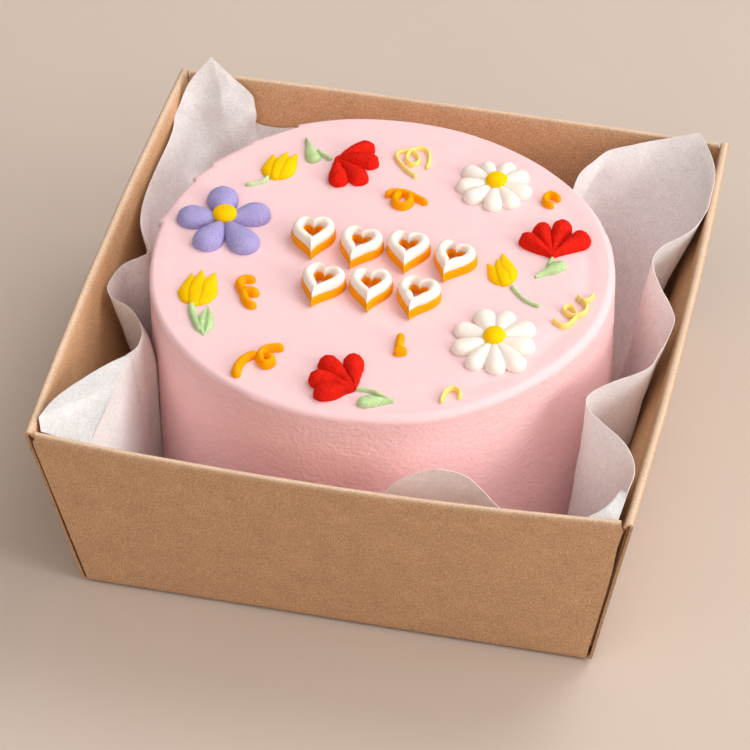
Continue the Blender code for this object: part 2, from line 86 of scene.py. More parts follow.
# Cake
CAKE_X = -2.8
CAKE_Y = -0.6
CAKE_RADIUS = 60.0
CAKE_TOP = 65.0
CAKE_BASE = 2.1
CAKE_COLUMNS = 560
CAKE_RIPPLES = ((1, 0.45, 12), (2, 0.35, 250), (3, 0.22, 140), (5, 0.18, 60), (8, 0.10, 200))
RIM_SHIFTS = (
    (0, 1.1), (30, 1), (38, 0.5), (46, 0.1), (54, -0.6), (62, -1.3), (75, -1.7), (84, -1.4), (92, -1),
    (100, -0.3), (108, 0.6), (116, 1.4), (124, 1.2), (135, 1), (145, 0.7), (160, 0.7), (180, 0.6), (200, 0.6),
    (220, 0.3), (250, 0), (320, 0), (335, 0.6), (350, 1.1))
RIM_ROUND_SHARP = 1.4
RIM_ROUND_SOFT = 2.1
RIM_SOFT_SIDE = -12
RIM_LIPS = ((123.3, 1.1, 9), (137, 0.7, 5), (149.6, 1, 7), (157.1, 1.2, 6), (175.6, 1.3, 3))
# Small pits, (x, y, size, depth)
CAKE_PITS = ((18.2, 44.4, 0.55, 0.5), (-46.2, -37.3, 0.45, 0.4))

# Baking paper
PAPER = 0.14
PAPER_FLOOR = 1.55
PAPER_GAP = (
    (0, 0.7), (190, 0.3), (207, 0), (210, 0.3), (213, 3.2), (218, 7.5), (225, 14.5), (229, 19), (233, 16),
    (240, 9), (256, 0.7))
PAPER_COLUMNS = 560
PAPER_BEND = 0.62
PAPER_HUG = (
    (184, 1), (194, 1.4), (201, 4), (205, 8), (211, 8), (214, 3), (219, 1.5), (230, 1.3), (245, 1.2),
    (256, 1), (300, 1), (312, 1.3), (322, 0.6), (345, 0.55), (357, 1))
FOLD_EDGE = 0.006
# Its free edge runs round anticlockwise in stretches, each from a sharp corner on, as (x, y, height), where
# a point without a height is at this one
PAPER_TOP = 60
RIGHT_STRETCH = (
    (73.8, -74.5, 57.4), (74.3, -70.6, 58.5), (74.8, -65, 59.9), (75.1, -60.3), (74.5, -56.3),
    (72.6, -51.6), (69.3, -47.4), (64.1, -42.9), (60.4, -39.6), (58.3, -35.4), (58.6, -32.9), (61.5, -29),
    (64.8, -25.9), (68.8, -22.7), (71.9, -18.3, 59.5), (72.9, -12.3, 59), (74.3, -1.4, 59), (74, 2.1, 59),
    (72.1, 6.4, 59.5), (68.8, 11.9), (66.1, 17.9), (64.9, 21.7), (65.1, 25), (66.8, 28.8), (70.5, 33.3),
    (74, 39.1), (75.7, 45), (75.6, 51.8), (74.8, 61.5), (73.4, 66.4), (70.6, 71.3, 61.5))
BACK_STRETCH = (
    (68.4, 73.3, 63.2), (58, 71.7), (51.6, 68.1), (45.7, 64.6), (43.4, 61.9), (41.5, 58), (39.4, 51.9),
    (38.3, 48.4, 57), (36, 50, 50), (31, 55, 44), (22, 62, 41.5), (8, 67, 41), (-10, 70, 41),
    (-30, 70.6, 45), (-42.8, 71.8, 46.6), (-47.9, 71.8, 45.7), (-53.1, 71.8, 45.9), (-56.4, 71.8, 47.4),
    (-57.2, 71.8, 49.7), (-55.4, 71.8, 52.9), (-55, 71.8, 54.3), (-55.6, 71.8, 56), (-61.7, 71.8, 61.9))
LEFT_STRETCH = (
    (-66.9, 71.8, 67.3), (-72.4, 68, 60.2), (-73.5, 61, 55.8), (-72.8, 47.8, 55.5), (-73.2, 34.2, 55.5),
    (-72.9, 22.6, 55.5), (-71.4, 14, 56.2), (-67.9, 4.6, 58.8), (-65.6, 1.4, 58.3), (-65.6, -1.2, 57.6),
    (-67.4, -2.6, 57.2), (-71.2, -4.6, 55.8), (-73, -8.5, 54.6), (-73.4, -13, 54), (-71.6, -15.6, 53.2),
    (-66.6, -19, 54.3), (-61.5, -25.1, 56.5), (-58.6, -31.2, 58.5), (-57.2, -36.1), (-57.2, -40.6, 60.3),
    (-58.7, -42.9), (-62.6, -47.7), (-68.3, -55.6), (-72.6, -63.5))
CUT_CORNER = ((-74.7, -71, 59.7),)
FRONT_STRETCH = (
    (-73.5, -73.6, 57.3), (-66, -74.2, 56.5), (-60.5, -74.2, 56.2), (-42, -71, 46), (-12, -69.5, 42.5),
    (6, -67.6, 43.5), (10.3, -67.2, 46), (13.1, -67.2, 48.3), (17, -67.2, 53.1), (21.8, -67.2, 56.5),
    (26.7, -67.2, 58.8), (30.7, -67.2, 59), (35, -67.2, 57.6), (38.4, -67.2, 54.4), (43, -67.2, 49.5),
    (49, -68.6, 48.5), (56, -72.4, 52), (65, -73.9, 56.6))
PAPER_STRETCHES = (RIGHT_STRETCH, BACK_STRETCH, LEFT_STRETCH, CUT_CORNER, FRONT_STRETCH)
# The notch in the back edge, from and to
PAPER_NOTCH = (BACK_STRETCH[16], BACK_STRETCH[-1])
# Crisp folds where a corner of the sheet leans out over the tray's rim
PAPER_FOLDS = (
    ((-58.7, -42.9, 60), (-58.9, -53.5, 60), (-59, -62, 59), (-59.7, -68.5, 58.3), (-60.5, -74.1, 56.2)),
    ((65, -74, 56.6), (68.2, -72.6, 57.6), (70.6, -71, 58.7), (71.9, -68.2, 59), (72.6, -65, 59.2),
     (74.6, -64.6, 60)),
)
# Creases pressed into the sheet, (from, to, width, depth, crisp)
PAPER_CREASES = (
    ((-67.5, 70.4, 63.7), (-66.7, 68.8, 59.8), 5, 1, True),
    ((-66.7, 68.8, 59.8), (-68.2, 67.6, 56.7), 5, 1, True),
    ((-68.2, 67.6, 56.7), (-72.2, 60, 55), 5, 1, True),
    ((-67.2, 63.5, 50), (-66, 52.5, 44.5), 3.5, 2.2, False),
    ((-56.5, 69, 50.9), (-65.4, 58.3, 41.9), 3, -1.2, False),
    ((-70.2, 12, 54), (-66, 1.5, 52.5), 2.5, -0.6, True),
    ((41.5, 60, 56), (40, 53, 50), 3, -1, False),
    ((43.4, 62.5, 52), (43, 55, 46), 2.5, 0.9, False),
)

# Piping: how far it sinks in, and the degrees its section goes on round below its widest line
SINK = 0.5
PIPED_TUCK = 20
# Where a tulip's petal is fullest, as a share of its length
FULLEST = 0.38
LEAF_GROOVE = 0.35

# Piped flowers: each petal is (far end x, far end y, half width)
VIOLET_HUB = (-46.3, 6.8)
VIOLET_DOT = (-46.5, 7.8)
VIOLET_PETALS = (
    (-50.2, 19.2, 4.2), (-35.5, 12.8, 4.1), (-36.2, -4, 4.3), (-49.6, -5.8, 4), (-59, 6, 4.1))
DAISIES = (
    # hub, dot, then the petals
    ((20.1, 36.6), (20.1, 37),
     ((22.3, 46, 2.7), (15.6, 44.9, 2.2), (10.4, 41.4, 2.6), (10, 33.9, 2.7), (13.6, 28.3, 2.8),
      (21.2, 26.2, 2.6), (26.9, 28.9, 2.6), (30.1, 34.8, 2.8), (27.6, 42.9, 2.7))),
    ((32.3, -24.4), (32.3, -23.9),
     ((26.9, -13.5, 3.1), (33.9, -12.8, 2.7), (41.3, -16.5, 3), (43, -24.6, 2.9), (41.3, -33.3, 2.9),
      (35.3, -36.2, 2.7), (28.5, -35.8, 2.7), (22.5, -29.8, 3), (21.5, -21.2, 2.9))),
)
RED_FLOWERS = (
    ((-23.7, 38.1), ((-15, 45.2, 2.6), (-12, 38.7, 2.7), (-13.9, 29.8, 2.7), (-20.3, 27.4, 2.6))),
    ((40.2, 11.6), ((30.9, 17.2, 2.5), (34.6, 22.6, 2.5), (40.8, 25.2, 2.7), (47.9, 21.2, 2.8))),
    ((1.8, -49.5), ((-1.2, -37.8, 2.7), (-8.6, -40.9, 2.8), (-10.2, -48.2, 2.6), (-7.7, -54.1, 2.6))),
)
RED_LEAVES = (
    # the stem's x, y, x, y ... and width, then the leaf's narrow and round ends and half width
    ((-29.6, 41.2, -27.5, 39.4, -25, 38), 1.2, (-33.5, 45), (-28.9, 35.8), 1.9),
    ((40.4, 11.4, 40.3, 9.9, 40.1, 7.6), 1.3, (37.6, 2.8), (44.2, 9.6), 1.9),
    ((2.1, -49.4, 4.4, -49.1, 6.9, -49.5, 9, -50.6, 10.9, -51.6), 1.1, (12.4, -51.4), (3.6, -54.2), 2),
)
TULIPS = (
    # petals as (start, tip, half width), the stem's x, y, x, y ... and width
    ((((-38.6, 27.2), (-40.7, 37), 2.95), ((-37.9, 26.7), (-37.2, 38.9), 2.9),
      ((-37.1, 27.2), (-34.4, 38.6), 2.95)),
     (-39.6, 27.6, -40.4, 25.6, -41.7, 24.3, -43.7, 23.3, -44.9, 22.9), 1.1),
    ((((30.5, -1.9), (24.2, 5.5), 2.6), ((30.8, -2.2), (26.4, 7.8), 2.8), ((31.3, -1.2), (27.3, 10.5), 2.9)),
     (32.1, -1.8, 34, -4.2, 36.6, -6.8, 39.1, -8, 41, -8.4), 1),
    ((((-46.8, -26.7), (-49.6, -14.8), 3.4), ((-45.7, -27.3), (-47.2, -12.9), 3.3),
      ((-44.9, -26.6), (-43.5, -13.1), 3.4)),
     (-46.6, -26.6, -45, -30.8, -43.1, -34, -41.5, -36.4), 1.9),
)
# The last tulip's leaf: start, tip, half width, height
TULIP_LEAF = ((-42.2, -26.4), (-40.4, -37.8), 2.3, 1.5)
# Heights of a tulip's petals, and each other petal's height, width and height at the hub
TULIP_HEIGHTS = (1.6, 1.9, 1.7)
VIOLET_SIZES = (3.6, 0.9, 1.6)
DAISY_SIZES = (2.6, 1.1, 1.5)
RED_SIZES = (3.3, 0.6, 1.3)
RED_LEAF_SIZES = (1.7, 0.5, 0.8)
HEARTS = (
    # centre x, centre y, size, lean in degrees
    (-21.8, 4.2, 4.3, 9), (-9.1, 2.8, 4.3, -6), (3.5, 3.8, 4.2, 5), (15.8, 2.6, 4.1, -9),
    (-15.3, -13.8, 4.3, -7), (-2.6, -12.8, 4.2, 6), (9.8, -13.4, 4.2, -4),
)
HEART_STEPS = 150
HEART_TALL = 1.22
HEART_NOTCH = -0.45
HEART_SOFTEN = 22
HEART_BASE_WIDTH = 3.5
HEART_BASE_HEIGHT = 2.8
HEART_TOP_WIDTH = 2.9
HEART_TOP_HEIGHT = 2.0
HEART_TOP_SINK = 0.3
ORANGE_STREAMERS = (
    # each stroke as its width and then x, y, x, y ...
    ((2, -7.3, 25.9, -6.5, 27.2, -5.1, 28, -3.3, 28.2, -1.5, 27.9, 0.3, 27, 2.1, 26.2, 4, 25.3),
     (2.2, -1.6, 27.8, -0.7, 25.9, -0.8, 23.8, -2, 22.6, -3.5, 22.9, -4.5, 24.5, -4.5, 26.5,
      -3.5, 27.8)),
    ((1.8, 37.7, 34.3, 36.7, 35.3, 35, 35.8, 34, 34.6, 34, 33.2, 34.9, 31.9, 36.7, 31.5),),
    ((2.4, -32.5, -14.6, -34.1, -14.6, -35.4, -14.9, -36.3, -16.4, -35.5, -18.4, -34.3, -20.2,
      -33.4, -22.2, -32.1, -23.9, -29.9, -24.5),
     (2.7, -35, -19.7, -33.1, -19.2, -31.5, -19.5, -30.3, -19.8)),
    ((2.5, -28.3, -51.7, -28.8, -48.6, -28.3, -45.5, -27, -43.5, -25, -42.1),
     (2.2, -19.1, -38.5, -22, -39.3, -23.7, -40.4, -24.3, -42.3, -23.7, -44.5, -22.2, -45.8,
      -21, -44.8, -21.4, -43.2, -22.9, -42.6)),
    ((2.1, 8.8, -27.2, 9, -30, 9.3, -32.7),
     (2.5, 8.2, -33.7, 9.9, -33.5, 11.5, -32.6)),
)
YELLOW_STREAMERS = (
    ((1.4, -1.1, 35.4, -3.3, 37, -5.7, 39.2, -7.6, 41.6, -8.4, 43.4, -7.8, 44.8, -6.6, 45.5,
      -5.1, 46.2, -3.7, 47.2, -2.1, 47.6, -0.7, 46.9, 0.3, 44.8, 0.7, 42.2, 0.7, 39.6),
     (1.3, -4.9, 46, -5.6, 44, -5.1, 41.8, -3.8, 40.4, -2.4, 40.8, -2.1, 42.6, -3, 44.4, -4.4, 45.7)),
    ((1.2, 45.3, -12.7, 46.4, -13.8, 48, -14.6, 49.3, -14.1, 50.2, -12.2, 50.8, -10, 49.9, -7.9,
      48.7, -6.8, 47.6, -7.2, 47.2, -8.6, 48.2, -9.6, 49.6, -10.2, 51, -10, 52.2, -9, 52.9, -7.1,
      52.6, -5.4, 51.6, -4.2, 50.4, -3.2, 49.6, -2.4),
     (1.1, 50, -3.4, 51.4, -3.9, 52.7, -3.6, 53.3, -2.3, 53.5, -0.9)),
    ((1.3, 24.1, -49.6, 24, -47.8, 24.3, -45.7, 25.1, -44.4, 26.2, -43.7, 27.4, -44.3, 28.1, -45.7,
      28.1, -47.2),),
)

# Kinds of piped piece: the cream, the part that it stands for and its unevenness, (size, amount, seed) each
PIPED_KINDS = {
    "violet_flower": ("violet", "violet_petals", (5, 0.15, 31), (1.1, 0.05, 21), (0.5, 0.025, 22)),
    "violet_dot": ("yellow", "violet_centre", (2.5, 0.08, 32)),
    "daisy_flower": ("white", "daisy_petals", (3.5, 0.12, 33), (1.2, 0.03, 34)),
    "daisy_dot": ("yellow", "daisy_centre", (2.2, 0.15, 35)),
    "red_flower": ("red", "red_petals", (3, 0.16, 36), (0.9, 0.14, 37), (0.45, 0.07, 38)),
    "red_flower_leaf": ("green", "red_leaf", (1.8, 0.16, 39), (0.8, 0.05, 40)),
    "tulip_flower": ("yellow", "tulip", (2.4, 0.1, 41), (0.9, 0.04, 42)),
    "tulip_green": ("green", "tulip_stem", (1.6, 0.08, 43)),
    "orange_heart": ("orange", "heart_base"),
    "white_heart": ("white", "heart_top", (2, 0.06, 44)),
    "orange_squiggle": ("orange", "orange_streamer", (1.8, 0.06, 45)),
    "yellow_squiggle": ("pale_yellow", "yellow_streamer", (1.5, 0.05, 46)),
}

# Colours, linear
BOARD_COLOUR = (0.425, 0.246, 0.129)
# Painted bounce light: the walls' inner faces are a paler, redder brown than their outer faces
BOARD_INNER_PAINTED_BOUNCE = (0.8, 0.43, 0.215)
# Pale fibres of the board, also used on the rims for painted light that they catch
BOARD_PALE_FIBRE_AND_LIT_RIM = (0.74, 0.52, 0.35)
# Painted highlight along the very top of the rims
RIM_PAINTED_HIGHLIGHT = (0.95, 0.76, 0.61)
PAPER_COLOUR = (0.96, 0.89, 0.88)
# The cake's side below its rim: a redder pink that stands for painted bounce light and shade
CAKE_SIDE_PAINTED_BOUNCE = (1, 0.605, 0.605)
FLOOR_COLOUR = (0.562, 0.463, 0.398)

# How far light spreads in cream and paper, in red, green and blue, as shares of this length
SPREAD = 0.8 * MM
WIDE_BLEED = (2, 1, 0.7)
WARM_BLEED = (0.5, 0.9, 0.6)
PAPER_BLEED = (1, 0.85, 0.8)

# Creams: colour, size and depth of the fine relief, how much the colour varies, roughness, share that is
# see-through, gloss, bleed and how dark the speckles are
CREAMS = {
    "pink": ((0.86, 0.582, 0.602), 0.6, 0.03, 0.015, 0.5, 0.35, 0.2, WIDE_BLEED, 0),
    "violet": ((0.4, 0.35, 0.66), 0.42, 0.3, 0.06, 0.6, 0, 0.15, WIDE_BLEED, 0.17),
    "yellow": ((0.97, 0.54, 0.001), 0.8, 0.03, 0.05, 0.6, 0.5, 0.05, WARM_BLEED, 0),
    "pale_yellow": ((0.97, 0.67, 0.2), 0.8, 0.02, 0.05, 0.5, 0.35, 0.35, WIDE_BLEED, 0),
    "red": ((0.76, 0.016, 0.007), 0.4, 0.35, 0.15, 0.7, 0, 0.04, WIDE_BLEED, 0.22),
    "white": ((0.88, 0.78, 0.71), 0.8, 0.02, 0.02, 0.5, 0.35, 0.35, WIDE_BLEED, 0),
    "orange": ((0.95, 0.34, 0.001), 0.8, 0.03, 0.05, 0.5, 0.5, 0.05, WARM_BLEED, 0),
    "green": ((0.47, 0.64, 0.31), 0.6, 0.08, 0.15, 0.5, 0.35, 0.35, WIDE_BLEED, 0.12),
}

# Stage, in metres; a light is (name, place, side, watts, colour)
FLOOR_REACH = 4.0
FLOOR_LEVEL = -0.0002
LOOK_AT = (0, 0, 0.04)
LIGHTS = (
    ("key", (0.7, 0.9, 1.5), 1.1, 17.6, (1, 1, 0.99)),
    ("right", (1.4, -0.1, 1.2), 1.2, 9.5, (1, 1, 0.99)),
    ("low_right", (2.2, -0.7, 0.85), 1.1, 29, (1, 0.98, 0.965)),
    ("front", (-0.15, -1.55, 1.7), 2.6, 25, (1, 0.935, 0.87)),
)
ROOM_COLOUR = (1, 0.96, 0.92, 1)
ROOM_STRENGTH = 0.315


# Shapes in numbers

def noise3(points, size, seed):
    """Smooth noise from -1 to 1 at an array of points, with lumps of this size."""
    place = np.asarray(points, float) / size + 17.3 * seed
    cell = np.floor(place)
    share = place - cell
    share = share ** 3 * (share * (share * 6 - 15) + 10)
    total = np.zeros(place.shape[:-1])
    for corner in range(8):
        step = np.array([(corner >> axis) & 1 for axis in range(3)])
        spin = np.sin((cell + step) @ np.array([127.1, 311.7, 74.7])) * 43758.5453
        weight = np.prod(np.where(step, share, 1 - share), axis=-1)
        total += weight * (2 * (spin - np.floor(spin)) - 1)
    return total


def bell(distance, width):
    """A smooth bump, 1 at distance 0 and small beyond the width."""
    return np.exp(-(distance / width) ** 2)


def smooth_line(points):
    """A smooth curve through the points, as an array of close points."""
    points = [Vector(point) for point in points]
    points = [2 * points[0] - points[1], *points, 2 * points[-1] - points[-2]]
    line = []
    for p0, p1, p2, p3 in zip(points, points[1:], points[2:], points[3:]):
        s0, s1, s2 = (max((b - a).length, 0.01) ** 0.5 for a, b in ((p0, p1), (p1, p2), (p2, p3)))
        start_slope = (p1 - p0) / s0 - (p2 - p0) / (s0 + s1) + (p2 - p1) / s1
        end_slope = (p2 - p1) / s1 - (p3 - p1) / (s1 + s2) + (p3 - p2) / s2
        for k in range(STEPS_PER_SPAN):
            t = k / STEPS_PER_SPAN
            share = t * t * (3 - 2 * t)
            line.append(p1 * (1 - share) + p2 * share + start_slope * s1 * t * (1 - t) ** 2
                        - end_slope * s1 * t * t * (1 - t))
    return np.array([tuple(point) for point in line + [points[-2]]])


def step_lengths(line):
    return np.linalg.norm(np.diff(line, axis=0), axis=1)


def at_lengths(line, lengths):
    """Points of a line at these lengths along it."""
    reach = np.append(0, np.cumsum(step_lengths(line)))
    return np.stack([np.interp(lengths, reach, line[:, axis]) for axis in range(line.shape[1])], -1)


def round_cake(table, degrees):
    """Reads a table of (degrees, value) that runs round the cake."""
    places, values = np.array(table, float).T
    return np.interp(degrees, places, values, period=360)


def quads(rows, cols, wrap):
    """Faces over a grid of corners that are numbered row by row."""
    index = np.arange(rows * cols).reshape(rows, cols)
    if wrap:
        index = np.hstack([index, index[:, :1]])
    return np.stack([index[:-1, :-1], index[:-1, 1:], index[1:, 1:], index[1:, :-1]], -1).reshape(-1, 4)


def grid_normals(grid, wrap):
    """Unit normals of a grid of points."""
    if wrap:
        across = np.roll(grid, -1, 1) - np.roll(grid, 1, 1)
    else:
        across = np.gradient(grid, axis=1)
    normal = np.cross(across, np.gradient(grid, axis=0))
    return normal / np.maximum(np.linalg.norm(normal, axis=-1, keepdims=True), 1e-9)


def thick_sheet(grid, thickness, wrap=False):
    """Corners and faces of a sheet with the grid in its middle."""
    rows, cols = grid.shape[:2]
    offset = grid_normals(grid, wrap) * thickness / 2
    corners = np.concatenate([(grid + offset).reshape(-1, 3), (grid - offset).reshape(-1, 3)])
    count = rows * cols
    index = np.arange(count).reshape(rows, cols)
    front = quads(rows, cols, wrap)
    faces = [front, front[:, ::-1] + count]
    loops = [index[0], index[-1][::-1]]
    if wrap:
        loops = [np.append(loop, loop[0]) for loop in loops]
    else:
        loops += [index[::-1, 0], index[:, -1]]
    for loop in loops:
        faces.append(np.stack([loop[1:], loop[:-1], loop[:-1] + count, loop[1:] + count], -1))
    return corners, np.concatenate(faces)


def tube(rings):
    """Corners and faces of a closed form from rings of corners, with a fan at each end."""
    count, sides = rings.shape[:2]
    corners = np.concatenate([rings.reshape(-1, 3), rings[[0, -1]].mean(axis=1)])
    faces = [quads(count, sides, True)]
    ring = np.arange(sides)
    for centre, base in ((count * sides, 0), (count * sides + 1, (count - 1) * sides)):
        fan = np.stack([base + ring, base + np.roll(ring, -1), np.full(sides, centre)], -1)
        faces.append(np.concatenate([fan, fan[:, 2:]], -1))
    return corners, np.concatenate(faces)


def merged(shapes):
    """One list of corners and one of faces from several shapes."""
    corners, faces = zip(*shapes)
    starts = np.cumsum([0] + [len(points) for points in corners])
    return np.concatenate(corners), np.concatenate([quad + start for quad, start in zip(faces, starts)])


def add_object(name, data):
    obj = bpy.data.objects.new(name, data)
    bpy.context.scene.collection.objects.link(obj)
    return obj


def add_piece(name, shape, material, nodes, sharp=40, roughen=(), inside=None):
    """Makes a mesh piece that rides on the model and stands for these nodes."""
    corners, faces = shape
    mesh = bpy.data.meshes.new(name)
    polygons = [tuple(dict.fromkeys(face)) for face in faces.tolist()]
    mesh.from_pydata((corners * MM).tolist(), [], polygons)
    bm = bmesh.new()
    bm.from_mesh(mesh)
    bmesh.ops.recalc_face_normals(bm, faces=bm.faces)
    bm.to_mesh(mesh)
    bm.free()
    if inside is not None:
        mesh.attributes.new("inside", "FLOAT", "POINT").data.foreach_set("value", inside.ravel())
    for size, amount, seed in roughen:
        roughen_mesh(mesh, size, amount, seed)
    mesh.shade_smooth()
    mesh.set_sharp_from_angle(angle=math.radians(sharp))
    mesh.materials.append(material)
    obj = add_object(name, mesh)
    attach(obj, "root")
    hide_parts(*nodes)


def roughen_mesh(mesh, size, amount, seed):
    """Moves a mesh's corners along their normals by smooth noise."""
    place, normal = np.empty((2, 3 * len(mesh.vertices)))
    mesh.vertices.foreach_get("co", place)
    mesh.vertices.foreach_get("normal", normal)
    place = place.reshape(-1, 3)
    shift = noise3(place / MM, size, seed) * amount * MM
    mesh.vertices.foreach_set("co", (place + normal.reshape(-1, 3) * shift[:, None]).ravel())
    mesh.update()


# Tray

def bow(share):
    return 1 - share * share


def wall_reach(base, top, lean, share, up):
    """How far a wall is from the tray's middle, at shares of its length and height."""
    first, last, more = lean
    spread = top + (first * (1 - share) + last * (1 + share)) / 2
    return base + up * (spread - base + more * bow(share))


def half_x(side, share, up):
    """Half the tray's width on one side at a share of its depth, -1 in front and 1 behind."""
    return wall_reach(TRAY_BASE_X, TRAY_TOP_X, LEFT_LEAN if side < 0 else RIGHT_LEAN, share, up)


def half_y(side, share, up):
    """Half the tray's depth in front or behind at a share of its width."""
    return wall_reach(TRAY_BASE_Y, TRAY_TOP_Y, FRONT_LEAN if side < 0 else BACK_LEAN, share, up)


def corner_y(share, up):
    """Half the tray's depth at a side wall's front or back end."""
    return np.where(share < 0, half_y(-1, 1, up), half_y(1, 1, up))


def board_profile(wall, flap_edge, hang):
    """Inset and height down the middle of a folded board: under the tray, up, over the rim and inside."""
    half = BOARD / 2
    turn = (wall - BOARD) / 2
    top = TRAY_HEIGHT - half
    rows = [(3.4, half), (2.3, half), (half + 0.9, half + 0.14), (half + 0.4, half + 0.42),
            (half + 0.1, half + 0.9), (half, half + 1.6)]
    rows += [(half, h) for h in np.linspace(3.5, top - turn, 22)]
    for a in np.radians(range(15, 180, 15)):
        rows.append((half + turn * (1 - math.cos(a)), top - turn * (1 - math.sin(a))))
    for h in np.linspace(top - turn, flap_edge, 18):
        down = (top - turn - h) / (top - turn - flap_edge)
        rows.append((wall - half + hang * down, h))
    return np.array(rows).T[:, None]


def inside_share(inset, wall):
    """1 on a folded wall's inner face and 0 on its outer face, for both sides of the sheet."""
    return np.tile(np.clip(inset / (wall - BOARD), 0, 1), (2, 1))


def side_wall(side, material):
    """The left or right wall with its thick rolled rim, and on the right the torn edge of its flap."""
    flap = (FLAP_EDGE, FLAP_HANG) if side > 0 else (FLAP_FOOT, 0)
    inset, height = board_profile(SIDE_WALL, *flap)
    share = np.linspace(-1, 1, 90)[:, None]
    behind = inset > 1
    if side > 0:
        wave = 1.6 * np.sin(5.1 * share + 0.6) + 0.8 * np.sin(13 * share) + 0.5 * np.sin(31 * share)
        down = np.clip((BELOW_RIM - height) / (BELOW_RIM - FLAP_EDGE), 0, 1)
        height = height + np.where(behind & (height > 5), wave * down ** 2, 0)
    up = height / TRAY_HEIGHT
    below_rim = np.clip((BELOW_RIM - height) / 1.5, 0, 1)
    short = np.where(behind & (height > 2), (END_WALL + 0.15) * below_rim, 0)
    short = np.where(height < FOOT_HEIGHT, FOOT_SHORT, short)
    x = side * (half_x(side, share, up) - inset)
    y = (corner_y(share, up) - short) * share
    grid = np.stack([x, y, height + 0 * share], -1)
    grid += noise3(grid, 18, 3)[..., None] * np.array([0.12, 0, 0.06])
    name = "tray_left" if side < 0 else "tray_right"
    shapes = [thick_sheet(grid, BOARD)]
    inside = inside_share(inset + 0 * share, SIDE_WALL).ravel()
    if side > 0:
        shapes.append(torn_lining())
        inside = np.append(inside, np.ones(len(shapes[1][0])))
    add_piece(name, merged(shapes), material, ["tray"], sharp=50, inside=inside)


def torn_lining():
    """The right wall's inner ply, which hangs loose below the torn edge of its flap."""
    height = np.linspace(FLAP_EDGE + 4, 4, 40)[None]
    share = np.linspace(-1, 1, 90)[:, None]
    down = np.clip((FLAP_EDGE - height) / FLAP_EDGE, 0, 1)
    inset = SIDE_WALL / 2 + LINING_HANG * np.sin(math.pi * down ** 0.75) * np.clip(2.5 * bow(share), 0, 1)
    x = half_x(1, share, height / TRAY_HEIGHT) - inset
    y = (corner_y(share, height / TRAY_HEIGHT) - LINING_SHORT) * share
    grid = np.stack([x, y, height + 0 * share], -1)
    grid += noise3(grid, 16, 4)[..., None] * np.array([0.2, 0, 0]) * np.clip(4 * down, 0, 1)[..., None]
    return thick_sheet(grid, LINING)


def end_wall(side, material):
    """The front or back wall with its thin folded rim, fitted between the side walls."""
    inset, height = board_profile(END_WALL + 0.1, FLAP_FOOT, 0)
    share = np.linspace(-1, 1, 110)[:, None]
    up = height / TRAY_HEIGHT
    chamfer = 1.35 * np.clip((height - TRAY_HEIGHT + 3.6) / 1.8, 0, 1)
    short = BOARD + CORNER_SLIT + chamfer
    left = half_x(-1, side, up) - short
    right = half_x(1, side, up) - short
    if side < 0:
        right = right - 0.7 * bell(height - 50, 9)
    x = np.where(share < 0, left, right) * share
    y = side * (half_y(side, share, up) - inset)
    grid = np.stack([x, y + 0 * x, height + 0 * x], -1)
    grid += noise3(grid, 22, 5)[..., None] * np.array([0, 0.1, 0.08])
    name = "tray_front" if side < 0 else "tray_back"
    add_piece(name, thick_sheet(grid, BOARD - 0.05), material, ["tray"], sharp=50,
              inside=inside_share(inset + 0 * share, END_WALL))


def tray_bottom(material):
    """The tray's floor."""
    across = np.linspace(-1, 1, 30)
    x, y = np.meshgrid(across * (TRAY_BASE_X - 1.2), across * (TRAY_BASE_Y - 1.2))
    grid = np.stack([x, y, np.full_like(x, TRAY_FLOOR / 2 + 0.05)], -1)
    add_piece("tray_bottom", thick_sheet(grid, TRAY_FLOOR - 0.1), material, ["tray"])


def make_tray(material):
    for side in (-1, 1):
        side_wall(side, material)
        end_wall(side, material)
    tray_bottom(material)


# Baking paper

def paper_edge():
    """The sheet's free edge, one point for each column, with a point at each sharp corner."""
    after = PAPER_STRETCHES[1:] + PAPER_STRETCHES[:1]
    lines = [smooth_line([(*point, PAPER_TOP)[:3] for point in (*stretch, end[0])])
             for stretch, end in zip(PAPER_STRETCHES, after)]
    lengths = [step_lengths(line).sum() for line in lines]
    spacing = sum(lengths) / PAPER_COLUMNS
    points = []
    for line, length in zip(lines, lengths):
        steps = max(round(length / spacing), 3)
        points.append(at_lengths(line, np.arange(steps) / steps * length))
    return np.concatenate(points)


def paper_guide(free):
    """The free edge without its notch, where the sheet's columns lead."""
    guide = free.copy()
    start, end = (np.argmin(np.linalg.norm(free - place, axis=1)) for place in PAPER_NOTCH)
    share = np.linspace(0, 1, end - start + 1)[:, None]
    guide[start:end + 1, :2] = guide[start, :2] * (1 - share) + guide[end, :2] * share
    return guide


def paper_angle(points):
    return np.arctan2(points[..., 1] - CAKE_Y, points[..., 0] - CAKE_X) % TURN


def paper_foot(free):
    """Where each column leaves the floor, close to the cake's side."""
    out = free[:, :2] - (CAKE_X, CAKE_Y)
    out /= np.linalg.norm(out, axis=1, keepdims=True)
    reach = len(free) // 50
    out = sum(np.roll(out, k, axis=0) for k in range(-reach, reach + 1))
    angle = np.arctan2(out[:, 1], out[:, 0])
    ring = cake_radius(angle) + round_cake(PAPER_GAP, np.degrees(angle))
    place = (CAKE_X, CAKE_Y) + np.stack([np.cos(angle), np.sin(angle)], -1) * ring[:, None]
    return np.column_stack([place, np.full(len(free), PAPER_FLOOR)])


def leaning(share, hug):
    """The share of the way out, across and up, of columns that hug the cake before they lean out."""
    return np.concatenate([share ** hug, share ** hug, share + 0 * hug], -1)


